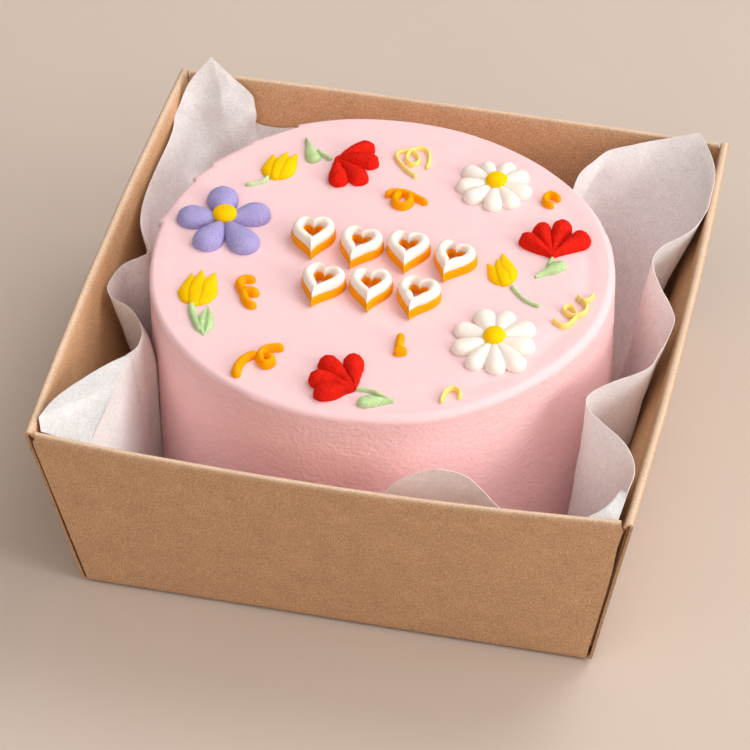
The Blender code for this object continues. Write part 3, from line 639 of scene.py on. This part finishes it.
def paper_rows(foot, guide, free, shares):
    """The sheet's rows from its foot to its free edge, folded over where a corner leans out."""
    angle = paper_angle(guide)
    hug = round_cake(PAPER_HUG, np.degrees(angle))[:, None]
    share = shares[:, None, None]
    rows = foot + (guide - foot) * leaning(share, hug) + (free - guide) * share ** 6
    for fold in PAPER_FOLDS:
        line = np.array(fold, float)
        turn = paper_angle(line)
        bend = np.stack([np.interp(angle, turn, line[:, axis]) for axis in range(3)], -1)
        inside = np.clip((angle - turn[0]) / FOLD_EDGE, 0, 1) * np.clip((turn[-1] - angle) / FOLD_EDGE, 0, 1)
        below = leaning(np.clip(share / PAPER_BEND, 0, 1), hug)
        above = np.clip((share - PAPER_BEND) / (1 - PAPER_BEND), 0, 1)
        folded = foot + (bend - foot) * below + (free - bend) * above
        weight = inside[:, None]
        rows = rows * (1 - weight) + folded * weight
    return rows


def crease(grid, normal, start, end, width, depth, crisp):
    """Presses a line into the sheet, as a sharp edge or as a soft valley."""
    start, end = np.array([start, end])
    along = end - start
    share = np.clip((grid - start) @ along / (along @ along), 0, 1)
    away = np.linalg.norm(grid - start - share[..., None] * along, axis=-1)
    profile = np.maximum(1 - away / width, 0) if crisp else bell(away, width)
    return grid + normal * (profile * depth)[..., None]


def make_paper(material):
    """The sheet of baking paper: flat under the cake, then up round it in waves."""
    free = paper_edge()
    guide = paper_guide(free)
    foot = paper_foot(guide)
    middle = np.array([CAKE_X, CAKE_Y, PAPER_FLOOR])
    flat = [foot * share + middle * (1 - share) for share in np.linspace(0.05, 0.97, 8)]
    fine = np.linspace(PAPER_BEND - 0.03, PAPER_BEND + 0.03, 5)
    shares = np.concatenate([np.linspace(0, fine[0], 32)[:-1], fine, np.linspace(fine[-1], 1, 22)[1:]])
    grid = np.concatenate([flat, paper_rows(foot, guide, free, shares)])
    rise = np.clip((grid[..., 2] - PAPER_FLOOR) / 12, 0, 1)[..., None]
    normal = grid_normals(grid, True)
    for line in PAPER_CREASES:
        grid = crease(grid, normal, *line)
    shift = 0.35 * noise3(grid, 13, 8) + 0.12 * noise3(grid, 4.5, 9)
    grid = grid + normal * shift[..., None] * rise
    add_piece("baking_paper", thick_sheet(grid, PAPER, True), material, ["liner"], sharp=50)


# Cake

def cake_radius(angle):
    """The cake's radius at an angle in radians."""
    waves = sum(size * np.sin(count * angle + math.radians(turn)) for count, size, turn in CAKE_RIPPLES)
    near = [round_cake(RIM_SHIFTS, np.degrees(angle) + step) for step in (-8, -4, 0, 4, 8)]
    return CAKE_RADIUS + waves + sum(near) / len(near)


def rim_lips(angle):
    """Where the palette knife left the rim ragged."""
    total = 0
    for degrees, height, reach in RIM_LIPS:
        distance = ((math.radians(degrees) - angle + math.pi) % TURN - math.pi) * CAKE_RADIUS
        total = total + height * np.where(distance > -0.4, np.exp(-np.maximum(distance, 0) / reach), 0)
    return total


def make_cake(material):
    """The cake, with a smooth spread surface, one crisp and one soft side of its rim."""
    angle = np.arange(CAKE_COLUMNS) / CAKE_COLUMNS * TURN
    soft = ((1 + np.cos(angle - math.radians(RIM_SOFT_SIDE))) / 2) ** 2
    rim = RIM_ROUND_SHARP + (RIM_ROUND_SOFT - RIM_ROUND_SHARP) * soft
    reach = cake_radius(angle)
    rows = []
    for share in np.linspace(0, 1, 84):
        z = CAKE_BASE + (CAKE_TOP - rim - CAKE_BASE) * share
        rows.append((reach - 0.9 * bell(z - CAKE_BASE, 0.9), z))
    for a in np.radians(np.linspace(4, 90, 18)):
        rows.append((reach - rim * (1 - math.cos(a)), CAKE_TOP - rim * (1 - math.sin(a))))
    inner = CAKE_RADIUS - 0.5 - rim
    for share in np.linspace(0, 1, 50)[1:]:
        r = inner * (1 - share) + 0.2 * share
        rows.append((r, CAKE_TOP + 0 * r))
    grid = np.array([[CAKE_X + r * np.cos(angle), CAKE_Y + r * np.sin(angle), z] for r, z in rows])
    grid = shape_cake(grid.transpose(0, 2, 1), angle, soft)
    add_piece("cake_cream", tube(grid), material, ["cake"], sharp=60)


def shape_cake(grid, angle, soft):
    """Adds what the palette knife left: lips, a ridge and dip at the rim, faint smears and small pits."""
    out = np.stack([np.cos(angle), np.sin(angle), 0 * angle], -1)
    radius = np.hypot(grid[..., 0] - CAKE_X, grid[..., 1] - CAKE_Y)
    depth = cake_radius(angle) - radius
    height = grid[..., 2]
    on_top = np.clip((height - CAKE_TOP + 1.2) / 1.2, 0, 1)
    near_rim = bell(height - CAKE_TOP + 1, 1.6) * bell(np.maximum(depth, 0), 3)
    lips = rim_lips(angle) * near_rim
    behind = bell((angle - math.radians(150) + math.pi) % TURN - math.pi, 0.9)
    lift = -0.45 * soft * bell(depth - 7, 2.4) + 0.05 * soft * bell(depth - 3.4, 1.6)
    lift = lift + 0.22 * behind * bell(depth - 3.2 - 0.8 * np.sin(6 * angle), 1)
    lift = lift + 0.1 * noise3(grid, 26, 11) + 0.05 * noise3(grid, 9, 12)
    for x, y, size, deep in CAKE_PITS:
        lift = lift - deep * bell(np.hypot(grid[..., 0] - x, grid[..., 1] - y), size)
    wave = 0.28 * noise3(grid * (1, 1, 0.45), 21, 13) + 0.1 * noise3(grid * (1, 1, 0.6), 7, 14)
    smear = grid @ np.array([[1, 0, 0.5], [0, 1, 0], [0, 0, 2.4]])
    wave = wave + 0.1 * noise3(smear, 4, 15) * np.clip(noise3(grid, 16, 16) + 0.6, 0.15, 1)
    side = 1 - on_top
    grid = grid + out * (lips + wave * side)[..., None]
    grid[..., 2] += lift * on_top
    return grid


# Piping

def arch(count):
    """Round a piped line: (across, up) of a section that bulges a little over its foot."""
    a = np.radians(np.linspace(-PIPED_TUCK, 180 + PIPED_TUCK, count))
    floor = math.sin(math.radians(-PIPED_TUCK))
    return np.stack([np.cos(a), (np.sin(a) - floor) / (1 - floor)], -1)


def straight(start, tip, shares):
    """Points at these shares of the way between two points."""
    start, tip = np.array([start, tip], float)
    return start + (tip - start) * shares[:, None]


def piped(line, widths, heights, section):
    """A closed form along a flat line, from half widths and heights at each of its points."""
    ahead = np.gradient(line, axis=0)
    across = np.stack([-ahead[:, 1], ahead[:, 0]], -1)
    across /= np.maximum(np.linalg.norm(across, axis=1, keepdims=True), 1e-9)
    offset = section[:, 0] * widths[:, None]
    rings = np.empty((len(line), len(section), 3))
    rings[..., :2] = line[:, None] + across[:, None] * offset[..., None]
    rings[..., 2] = CAKE_TOP - SINK + section[:, 1] * (heights + SINK)[:, None]
    return tube(rings)


def petal(hub, tip, half_width, height, hub_width, hub_height):
    """A piped petal: narrow and low at the hub, round and full at its far end."""
    bulb = 1 - half_width / np.linalg.norm(np.subtract(tip, hub))
    rise = np.linspace(0, 1, 20)
    end = np.radians(np.linspace(0, 89, 15)[1:])
    shares = np.concatenate([bulb * rise, bulb + (1 - bulb) * np.sin(end)])
    lift = np.sin(rise * math.pi / 2)
    grow = 0.35 * lift + 0.65 * (1 - np.cos(rise * math.pi)) / 2
    widths = np.concatenate([hub_width + (half_width - hub_width) * grow, half_width * np.cos(end)])
    heights = np.concatenate([hub_height + (height - hub_height) * lift, height * np.cos(end) ** 0.75])
    return piped(straight(hub, tip, shares), widths, heights, arch(22))


def pointed_petal(base, tip, half_width, height):
    """One of a tulip's petals: round and full below, pointed above."""
    angle = np.radians(np.linspace(3, 90, 16))
    shares = np.concatenate([FULLEST * (1 - np.cos(angle)), np.linspace(FULLEST, 1, 26)[1:]])
    fall = np.clip((shares - FULLEST) / (1 - FULLEST), 0, 1)
    below = 1 - np.minimum(shares / FULLEST, 1)
    pointed = (1 - 0.95 * fall ** 1.6) * (1 - 0.3 * fall)
    full = np.where(shares < FULLEST, np.sqrt(1 - 0.97 * below ** 2), pointed)
    return piped(straight(base, tip, shares), half_width * full, height * full ** 0.6, arch(20))


def leaf(start, tip, half_width, height):
    """A piped leaf, pointed at both ends, with a groove along its middle."""
    shares = np.linspace(0, 1, 36)
    full = np.sin(np.pi * np.clip(shares, 0.02, 0.985) ** 1.2) ** 0.8
    section = arch(24)
    section[:, 1] *= 1 - LEAF_GROOVE * bell(section[:, 0], 0.25)
    return piped(straight(start, tip, shares), half_width * full, height * np.maximum(full, 0.3), section)


def stroke(points, width, height, seed):
    """A piped line with round ends, a little uneven in its width, through the points x, y, x, y ..."""
    line = smooth_line(np.reshape(points, (-1, 2)))
    length = step_lengths(line).sum()
    half = width / 2
    ends = half * (1 - np.cos(np.radians(np.linspace(3, 90, 9))))
    middle = np.linspace(half, length - half, max(int(length / 0.35), 8))[1:-1]
    lengths = np.concatenate([ends, middle, length - ends[::-1]])
    near = np.minimum(lengths, length - lengths) / half
    full = np.sqrt(np.clip(1 - (1 - np.minimum(near, 1)) ** 2, 0.002, 1))
    place = at_lengths(line, lengths)
    grow = 1 + 0.07 * noise3(np.column_stack([place, 0 * lengths]), width * 1.6, seed)
    return piped(place, half * full * grow, (height * full ** 0.7) * grow, arch(18))


def dome(place, radius_x, radius_y, height, base, point=(0, 0)):
    """A piped dot with a soft point that leans towards one side."""
    turns = np.linspace(0, TURN, 40, endpoint=False)
    a = np.radians(np.linspace(-25, 88, 20))[:, None]
    lean = np.maximum(np.sin(a), 0) ** 3
    x = place[0] + radius_x * np.cos(a) * np.cos(turns) + point[0] * lean
    y = place[1] + radius_y * np.cos(a) * np.sin(turns) + point[1] * lean
    z = base + height * (0.3 + 0.7 * np.sin(a)) + 0 * turns
    return tube(np.stack([x, y, z], -1))


def add_cream(kind, number, shapes, creams):
    """Adds one piped piece of a kind; a kind with several pieces has them numbered from 1."""
    cream, node, *roughen = PIPED_KINDS[kind]
    tail = f"_{number}" if number else ""
    add_piece(kind + tail, merged(shapes), creams[cream], [node + tail],
              sharp=60 if kind == "orange_heart" else 40, roughen=roughen)


def blossom(hub, petals, *sizes):
    return [petal(hub, (x, y), half_width, *sizes) for x, y, half_width in petals]


def make_flowers(creams):
    """The violet, the daisies and the red flowers with their leaves."""
    add_cream("violet_flower", 0, blossom(VIOLET_HUB, VIOLET_PETALS, *VIOLET_SIZES), creams)
    add_cream("violet_dot", 0, [dome(VIOLET_DOT, 3.2, 3.3, 2.7, CAKE_TOP + 1.5, (0.4, -0.4))], creams)
    for number, (hub, dot, petals) in enumerate(DAISIES, 1):
        add_cream("daisy_flower", number, blossom(hub, petals, *DAISY_SIZES), creams)
        add_cream("daisy_dot", number, [dome(dot, 2.9, 3.1, 2.6, CAKE_TOP + 1.3)], creams)
    for number, (hub, petals) in enumerate(RED_FLOWERS, 1):
        add_cream("red_flower", number, blossom(hub, petals, *RED_SIZES), creams)
    for number, (stem, width, start, tip, half_width) in enumerate(RED_LEAVES, 1):
        shapes = [petal(start, tip, half_width, *RED_LEAF_SIZES), stroke(stem, width, 1, number)]
        add_cream("red_flower_leaf", number, shapes, creams)


def make_tulips(creams):
    for number, (petals, stem, width) in enumerate(TULIPS, 1):
        shapes = [pointed_petal(*ends, height) for ends, height in zip(petals, TULIP_HEIGHTS)]
        add_cream("tulip_flower", number, shapes, creams)
        shapes = [stroke(stem, width, 0.6 + 0.3 * width, number + 5)]
        if number == len(TULIPS):
            shapes.append(leaf(*TULIP_LEAF))
        add_cream("tulip_green", number, shapes, creams)


def heart_line(size, grow):
    """Points round a heart, moved out by grow at its sides."""
    t = np.linspace(0, TURN, HEART_STEPS, endpoint=False)
    curve = 13 * np.cos(t) - 5 * np.cos(2 * t) - 2 * np.cos(3 * t) - np.cos(4 * t)
    across = (size + grow) * np.sin(t) ** 3
    up = (size + grow) * HEART_TALL * (curve / 16 + 0.14) + HEART_NOTCH * grow
    line = np.stack([across, up], -1)
    for _ in range(HEART_SOFTEN):
        line = (np.roll(line, 1, 0) + 2 * line + np.roll(line, -1, 0)) / 4
    return line


def heart_band(heart, section, base, lumps, seed):
    """A line of cream piped in a closed heart."""
    x, y, size, lean = heart
    cos, sin = math.cos(math.radians(lean)), math.sin(math.radians(lean))
    turn = np.array([[cos, sin], [-sin, cos]])
    middle = heart_line(size, 0) @ turn + (x, y)
    swell = 1 + lumps * noise3(np.column_stack([middle, np.full(HEART_STEPS, base)]), 2.6, seed)
    rings = np.empty((HEART_STEPS, len(section), 3))
    for k, (offset, up) in enumerate(section):
        line = heart_line(size, offset) @ turn + (x, y)
        rings[:, k, :2] = middle + (line - middle) * swell[:, None]
        rings[:, k, 2] = base + up * (1 + (swell - 1) * 0.8)
    corners = rings.reshape(-1, 3)
    index = np.arange(len(corners)).reshape(HEART_STEPS, -1)
    around = np.roll(index, -1, 0)
    faces = np.stack([index, around, np.roll(around, -1, 1), np.roll(index, -1, 1)], -1).reshape(-1, 4)
    return corners, faces


def make_hearts(creams):
    """Two rows of small hearts: a white line piped on top of a wider orange one."""
    half, tall = HEART_BASE_WIDTH / 2, HEART_BASE_HEIGHT + SINK
    a = np.radians(np.linspace(0, 180, 19))
    block = np.stack([half * np.sign(np.cos(a)) * np.abs(np.cos(a)) ** 0.45,
                      tall * (0.35 + 0.65 * np.sin(a) ** 0.5)], -1)
    block = np.vstack([[(half * 0.97, 0)], block, [(-half * 0.97, 0)]])
    line = arch(18) * (HEART_TOP_WIDTH / 2, HEART_TOP_HEIGHT + HEART_TOP_SINK)
    top = CAKE_TOP + HEART_BASE_HEIGHT - HEART_TOP_SINK
    for number, heart in enumerate(HEARTS, 1):
        add_cream("orange_heart", number, [heart_band(heart, block, CAKE_TOP - SINK, 0.05, number)], creams)
        add_cream("white_heart", number, [heart_band(heart, line, top, 0.12, number + 20)], creams)


def make_streamers(creams):
    """The squiggles; each stroke lies a little higher than the one that it crosses."""
    for kind, streamers, thin, height in (("orange_squiggle", ORANGE_STREAMERS, 1, 1.9),
                                          ("yellow_squiggle", YELLOW_STREAMERS, 0.9, 1.2)):
        for number, strokes in enumerate(streamers, 1):
            shapes = [stroke(points, thin * width, height * (1 + 0.1 * k), number + 3 * k)
                      for k, (width, *points) in enumerate(strokes)]
            add_cream(kind, number, shapes, creams)


# Materials

class Nodes:
    """A material's node tree, with short calls for the nodes that the finishes share."""

    def __init__(self, name):
        self.material = bpy.data.materials.new(name)
        self.material.use_nodes = True
        self.tree = self.material.node_tree
        self.shader = self.tree.nodes["Principled BSDF"]
        self.place = self.add("ShaderNodeTexCoord", "Object")

    def add(self, kind, output, links=(), **values):
        """Adds a node, sets its values, feeds its inputs and gives one of its outputs."""
        node = self.tree.nodes.new(kind)
        for key, value in values.items():
            setattr(node, key, value)
        for key, source in dict(links).items():
            self.feed(node.inputs[key], source)
        return node.outputs[output]

    def feed(self, socket, source):
        """Joins an input to another node's output, or gives it a plain value."""
        if isinstance(source, bpy.types.NodeSocket):
            self.tree.links.new(source, socket)
        else:
            socket.default_value = (*source, 1) if socket.type == "RGBA" else source

    def noise(self, size, detail, roughness=0.55, stretch=None):
        """Noise with lumps of this size in millimetres, squeezed along each axis by the stretch."""
        place = self.place
        if stretch:
            place = self.add("ShaderNodeMapping", "Vector", {"Vector": place, "Scale": stretch})
        links = {"Vector": place, "Scale": 1 / (size * MM), "Detail": detail, "Roughness": roughness}
        return self.add("ShaderNodeTexNoise", "Fac", links)

    def height(self, low, high):
        """0 at the low height and 1 at the high one, in millimetres."""
        up = self.add("ShaderNodeSeparateXYZ", "Z", {"Vector": self.place})
        links = {"Value": up, "From Min": low * MM, "From Max": high * MM}
        return self.add("ShaderNodeMapRange", "Result", links)

    def ramp(self, source, stops):
        """Turns a number into a colour or a grey, from stops of (place, colour)."""
        result = self.add("ShaderNodeValToRGB", "Color", {"Fac": source})
        for element, (place, colour) in zip(result.node.color_ramp.elements, stops):
            element.position = place
            element.color = (*colour, 1) if isinstance(colour, tuple) else (colour, colour, colour, 1)
        return result

    def mix(self, share, first, second, blend="MIX"):
        """Mixes two colours by a share, which may come from a node."""
        links = {0: share, 6: first, 7: second}
        return self.add("ShaderNodeMix", 2, links, data_type="RGBA", blend_type=blend)

    def bump(self, source, depth, before=None):
        """Fine relief from a number, depth in millimetres."""
        links = {"Height": source, "Distance": depth * MM}
        if before:
            links["Normal"] = before
        return self.add("ShaderNodeBump", "Normal", links)

    def finish(self, **values):
        """Sets the shader's inputs, from nodes or as plain values, and gives the material."""
        for key, value in values.items():
            self.feed(self.shader.inputs[key.replace("_", " ")], value)
        return self.material


def shade(colour, factor):
    return tuple(min(c * factor, 1) for c in colour)


def board_material():
    """Brown board: mottled, with short fibres and dark flecks; paler inside as painted bounce light, paler
    along its folded rims partly from stretched fibres and partly as painted light, with a painted highlight
    along each rim's top and a painted contact shadow along its bottom edge.
    """
    m = Nodes("brown_board")
    cloud = m.noise(7, 4)
    fibre = m.noise(0.24, 4, 0.75, (0.6, 1, 1))
    strand = m.noise(0.24, 4, 0.7, (1, 1, 0.45))
    fleck = m.noise(0.8, 3, 0.7, (0.5, 1, 1.3))
    # Painted bounce light: the inner faces take the paler, redder inner colour
    inside = m.add("ShaderNodeAttribute", "Fac", attribute_name="inside")
    colour = m.mix(inside, BOARD_COLOUR, BOARD_INNER_PAINTED_BOUNCE)
    # Partly real, partly painted light: the folded rims turn paler towards their tops, from the fold's
    # stretched fibres and from painted light that the rims catch
    rim = m.height(TRAY_HEIGHT - 2.2, TRAY_HEIGHT + 0.4)
    colour = m.mix(m.ramp(rim, ((0, 0), (0.8, 0.75))), colour, BOARD_PALE_FIBRE_AND_LIT_RIM)
    colour = m.mix(1, colour, m.ramp(cloud, ((0.3, 0.86), (0.7, 1))), "MULTIPLY")
    colour = m.mix(1, colour, m.ramp(fibre, ((0.34, 0.45), (0.6, 1.05))), "MULTIPLY")
    colour = m.mix(m.ramp(strand, ((0.48, 0), (0.72, 0.75))), colour, shade(BOARD_PALE_FIBRE_AND_LIT_RIM, 1.1))
    # Painted highlight: a pale line along the very top of each rim
    edge = m.height(TRAY_HEIGHT - 0.35, TRAY_HEIGHT)
    colour = m.mix(m.ramp(edge, ((0, 0), (0.8, 0.3))), colour, RIM_PAINTED_HIGHLIGHT)
    # Painted contact shadow: the board darkens sharply along its bottom edge, where it meets the floor
    colour = m.mix(m.ramp(m.height(0.2, 1.3), ((0, 0.75), (1, 0))), colour, shade(BOARD_COLOUR, 0.15))
    colour = m.mix(m.ramp(fleck, ((0.27, 0.75), (0.33, 0))), colour, shade(BOARD_COLOUR, 0.4))
    relief = m.bump(strand, 0.05, m.bump(fibre, 0.08))
    return m.finish(Base_Color=colour, Roughness=0.8, Normal=relief, Specular_IOR_Level=0.25)


def paper_material():
    """Thin white baking paper, faintly mottled with fibres, that lets some light through."""
    m = Nodes("baking_paper")
    cloud = m.noise(2.4, 5, 0.65)
    fibre = m.noise(0.5, 4, 0.8, (1, 0.6, 1.2))
    colour = m.ramp(cloud, ((0.35, shade(PAPER_COLOUR, 0.93)), (0.65, shade(PAPER_COLOUR, 1.02))))
    colour = m.mix(1, colour, m.ramp(fibre, ((0.36, 0.8), (0.6, 1.02))), "MULTIPLY")
    relief = m.bump(fibre, 0.12, m.bump(cloud, 0.22))
    return m.finish(Base_Color=colour, Roughness=0.5, Normal=relief, Specular_IOR_Level=0.3,
                    Subsurface_Weight=0.6, Subsurface_Radius=PAPER_BLEED, Subsurface_Scale=SPREAD)


def cream_material(cream, below=None):
    """Buttercream: matt and a little see-through, with fine grain, and perhaps painted deeper in colour
    below, as painted bounce light and shade on the cake's side.
    """
    colour, grain, depth, vary, roughness, soft, gloss, bleed, speckle = CREAMS[cream]
    m = Nodes(cream + "_cream")
    cloud = m.noise(4, 3)
    fine = m.noise(grain, 3)
    tint = m.ramp(cloud, ((0.3, shade(colour, 1 - vary)), (0.7, shade(colour, 1 + vary))))
    if speckle:
        tint = m.mix(1, tint, m.ramp(fine, ((0.38, 1 - speckle), (0.56, 1))), "MULTIPLY")
    if below:
        # Painted bounce light and shade: below the rim the side takes the redder side colour
        tint = m.mix(m.height(CAKE_TOP - 3.5, CAKE_TOP - 0.5), below, tint)
    relief = m.bump(fine, depth)
    if below:
        smears = m.noise(1.4, 4, 0.6, (1, 1, 1.25))
        smears = m.mix(m.height(CAKE_TOP - 3, CAKE_TOP - 0.3), smears, (0.5, 0.5, 0.5))
        relief = m.bump(smears, 0.42, relief)
    return m.finish(Base_Color=tint, Roughness=roughness, Normal=relief, Specular_IOR_Level=gloss,
                    Subsurface_Weight=soft, Subsurface_Radius=bleed, Subsurface_Scale=SPREAD)


def floor_material():
    """A plain pale table top."""
    m = Nodes("pale_floor")
    colour = m.ramp(m.noise(60, 3), ((0.3, shade(FLOOR_COLOUR, 0.985)), (0.7, shade(FLOOR_COLOUR, 1.015))))
    return m.finish(Base_Color=colour, Roughness=0.75, Normal=m.bump(m.noise(0.8, 2), 0.02))


# Stage

def make_camera():
    """The camera at the photograph's place and angle."""
    turn = Matrix.Identity(4)
    for degrees, axis in ((CAMERA_AZIMUTH, "Z"), (90 - CAMERA_ELEVATION, "X"), (CAMERA_ROLL, "Z")):
        turn @= Matrix.Rotation(math.radians(degrees), 4, axis)
    camera = bpy.data.cameras.new("camera")
    camera.sensor_width = SENSOR
    camera.lens = SENSOR * FOCAL_PIXELS / FRAME_PIXELS
    camera.clip_start = 0.05
    camera.clip_end = 20
    obj = add_object("camera", camera)
    obj.matrix_world = turn @ Matrix.Translation(Vector(CAMERA_PLACE) * MM)
    bpy.context.scene.camera = obj


def add_area(name, place, size, power, colour):
    """A soft square light that looks at the cake."""
    light = bpy.data.lights.new(name, "AREA")
    light.size = size
    light.energy = power
    light.color = colour
    obj = add_object(name, light)
    obj.location = place
    obj.rotation_mode = "QUATERNION"
    obj.rotation_quaternion = (Vector(place) - Vector(LOOK_AT)).to_track_quat("Z", "Y")


def make_stage():
    """A pale floor, four soft lights and the light of the room."""
    mesh = bpy.data.meshes.new("floor")
    ends = (-FLOOR_REACH, FLOOR_REACH)
    mesh.from_pydata([(x, y, FLOOR_LEVEL) for y in ends for x in ends], [], [(0, 1, 3, 2)])
    mesh.materials.append(floor_material())
    floor = add_object("floor", mesh)
    for light in LIGHTS:
        add_area(*light)
    world = bpy.data.worlds.new("soft_room")
    world.use_nodes = True
    background = world.node_tree.nodes["Background"]
    background.inputs["Color"].default_value = ROOM_COLOUR
    background.inputs["Strength"].default_value = ROOM_STRENGTH
    bpy.context.scene.world = world
    bpy.context.scene.view_settings.view_transform = "Standard"


def main():
    make_camera()
    make_stage()
    make_tray(board_material())
    make_paper(paper_material())
    make_cake(cream_material("pink", CAKE_SIDE_PAINTED_BOUNCE))
    creams = {cream: cream_material(cream) for cream in CREAMS if cream != "pink"}
    make_flowers(creams)
    make_tulips(creams)
    make_hearts(creams)
    make_streamers(creams)


main()
